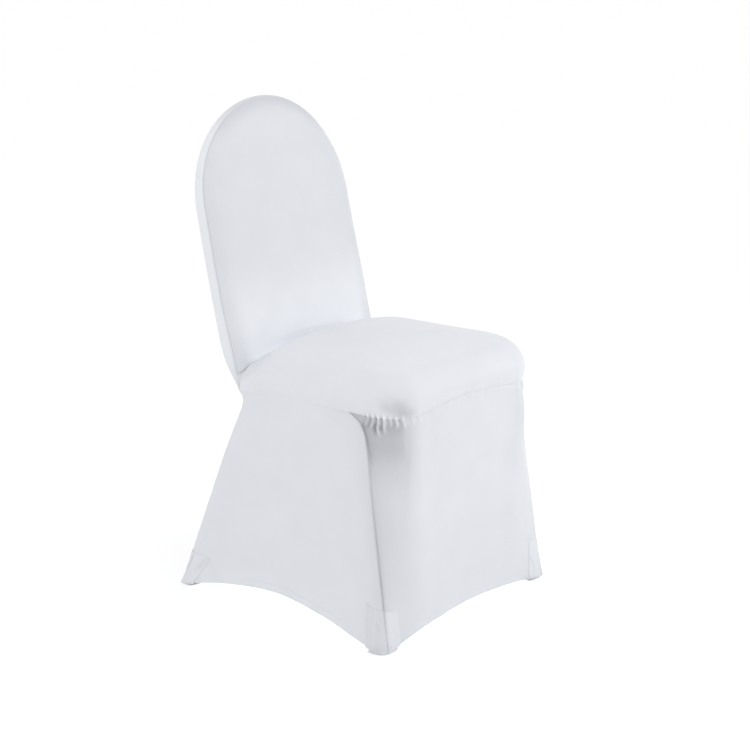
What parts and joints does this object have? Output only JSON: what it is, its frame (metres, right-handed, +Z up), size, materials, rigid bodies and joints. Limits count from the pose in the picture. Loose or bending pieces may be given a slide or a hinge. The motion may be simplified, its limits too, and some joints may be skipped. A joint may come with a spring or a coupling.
{
  "type": "chair cover",
  "caption": "Tight white stretch cover for a banquet chair with an arched back, gathered at the front corners of the seat, with arched hems and foot pockets.",
  "frame": {"origin": "middle of the footprint, on the floor", "axes": "+Z up; -Y towards the front of the chair, where a person's knees point; +X towards the person's left"},
  "size_m": [0.4922, 0.5222, 0.908],
  "materials": {
    "stretch_cloth": "smooth matt knit with a faint satin sheen"
  },
  "bodies": {
    "root": {"inside_back": "stretch_cloth", "outside_back": "stretch_cloth", "seat_top": "stretch_cloth", "skirt_front": "stretch_cloth", "skirt_left": "stretch_cloth", "skirt_right": "stretch_cloth", "pocket_front_left": "stretch_cloth", "pocket_front_right": "stretch_cloth", "pocket_rear_left": "stretch_cloth", "pocket_rear_right": "stretch_cloth"}
  },
  "joints": []
}
